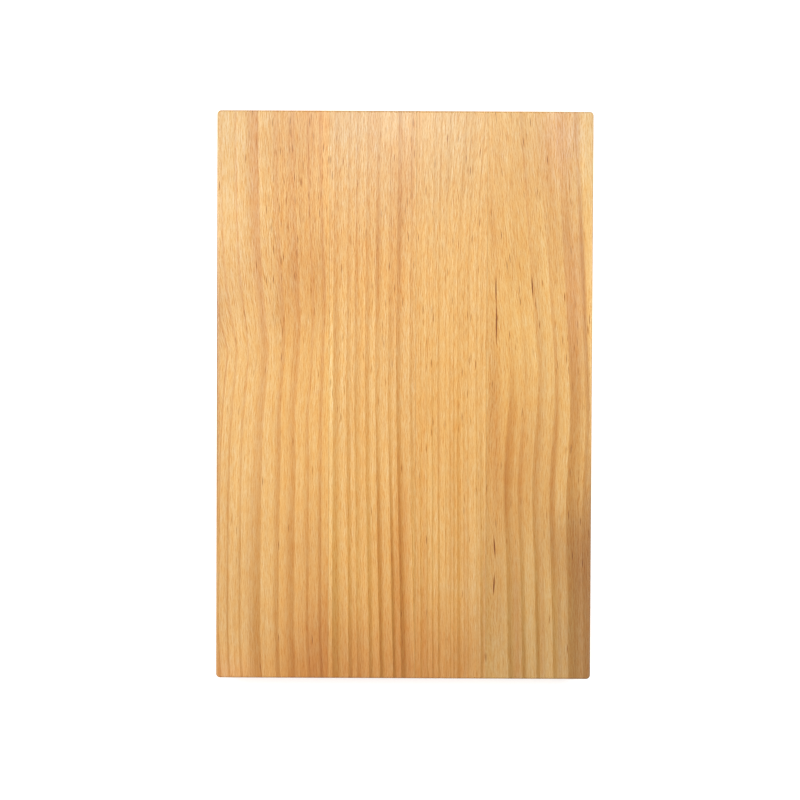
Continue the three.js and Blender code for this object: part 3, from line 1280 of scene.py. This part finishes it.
@dataclass(frozen=True)
class Studio:
    """The plain pale floor, the soft light and the camera over the board.

    Attributes:
        paper, floor_half, floor_drop: the floor's colour, half of its side and how far it lies below the
            board, in metres.
        floor_glow: how much light the floor adds where it is seen, so that it shows white.
        ambient: how bright the white room is where it only lights.
        lamps: the soft lamps.
        camera_place, camera_tilt, camera_roll, lens: the camera, in metres, degrees and millimetres.
    """

    paper: str = "#F2F2F2"
    floor_half: float = 4.0
    floor_drop: float = 0.0001
    floor_glow: float = 0.68
    ambient: float = 0.36
    lamps: tuple[SoftLamp, ...] = (
        SoftLamp("left_lamp", (-0.38, 0.085, 0.45), 0.25, 1.34),
        SoftLamp("right_lamp", (0.42, 0.085, 0.48), 0.25, 1.07),
        SoftLamp("far_lamp", (-0.01, 0.33, 0.77), 0.10, 0.98),
    )
    camera_place: tuple[float, float, float] = (-0.0023, 0.0106, 0.800)
    camera_tilt: float = 0.951
    camera_roll: float = 0.258
    lens: float = 66.66

    def build(self) -> None:
        """Lays the floor, lights the board and sets up the camera."""
        self.lay_floor()
        self.light()
        self.set_camera()

    def seen_directly(self, tree: NodeTree) -> Node:
        """Tells the rays that show the background, straight or through a gloss, from those that light."""
        path = add_node(tree, "ShaderNodeLightPath").outputs
        gloss = add_node(
            tree, "ShaderNodeMath", (path["Is Glossy Ray"], path["Is Transmission Ray"]),
            operation="MAXIMUM")
        return add_node(tree, "ShaderNodeMath", (path["Is Camera Ray"], gloss), operation="MAXIMUM")

    def lay_floor(self) -> None:
        """Lays a white floor that shows white to the camera and keeps the board's shadow."""
        half = self.floor_half
        corners = [(-half, -half), (half, -half), (half, half), (-half, half)]
        mesh = bpy.data.meshes.new("floor")
        mesh.from_pydata([(x, y, -self.floor_drop) for x, y in corners], [], [(0, 1, 2, 3)])
        floor = bpy.data.objects.new("floor", mesh)
        bpy.context.scene.collection.objects.link(floor)
        material = empty_material("white_paper_floor")
        tree = material.node_tree
        paper = add_node(tree, "ShaderNodeBsdfDiffuse", {"Color": linear(self.paper)})
        shown = self.seen_directly(tree)
        lift = add_node(tree, "ShaderNodeMath", (shown, self.floor_glow), operation="MULTIPLY")
        glow = add_node(tree, "ShaderNodeEmission", {"Color": linear("#FFFFFF"), "Strength": lift})
        both = add_node(tree, "ShaderNodeAddShader", (paper, glow))
        add_node(tree, "ShaderNodeOutputMaterial", {"Surface": both})
        mesh.materials.append(material)

    def light(self) -> None:
        """Lights the board with an even white room and the soft lamps."""
        world = bpy.data.worlds.new("white_room")
        bpy.context.scene.world = world
        world.use_nodes = True
        tree = world.node_tree
        tree.nodes.clear()
        shown = self.seen_directly(tree)
        strength = add_node(
            tree, "ShaderNodeMapRange", {"Value": shown, "To Min": self.ambient, "To Max": 1.0})
        room = add_node(tree, "ShaderNodeBackground", {"Color": linear("#FFFFFF"), "Strength": strength})
        add_node(tree, "ShaderNodeOutputWorld", {"Surface": room})
        for lamp in self.lamps:
            lamp.build()

    def set_camera(self) -> None:
        """Puts the camera straight above the board, tilted and rolled by the photograph's small angles."""
        data = bpy.data.cameras.new("camera")
        data.lens = self.lens
        camera = bpy.data.objects.new("camera", data)
        camera.location = self.camera_place
        camera.rotation_euler = (math.radians(-self.camera_tilt), 0.0, math.radians(self.camera_roll))
        bpy.context.scene.collection.objects.link(camera)
        bpy.context.scene.camera = camera


def main() -> None:
    """Builds the studio, the staves and the glue lines."""
    logging.basicConfig(level=logging.INFO, format="%(message)s")
    bpy.context.scene.view_settings.view_transform = "Standard"
    Studio().build()
    width, length, thickness = ((high - low) / MM for low, high in zip(*CAD_BOX))
    form = PanelForm(width, length, thickness)
    staves = (
        Stave("left_stave", form, LEFT_FIGURE, OiledPine("#EDB971")),
        Stave("centre_left_stave", form, CENTRE_LEFT_FIGURE, OiledPine("#EDB76E", fibre=1.95)),
        Stave("centre_right_stave", form, CENTRE_RIGHT_FIGURE, OiledPine("#EEB76B", fibre=1.7)),
        Stave("right_stave", form, RIGHT_FIGURE, OiledPine("#EBB76C", fibre=1.5)),
    )
    for stave in staves:
        stave.build()
    glue = CuredGlue().material()
    for node in ("left_glue_line", "centre_glue_line", "right_glue_line"):
        GlueLine(node, form).build(glue)


if __name__ == "__main__":
    main()
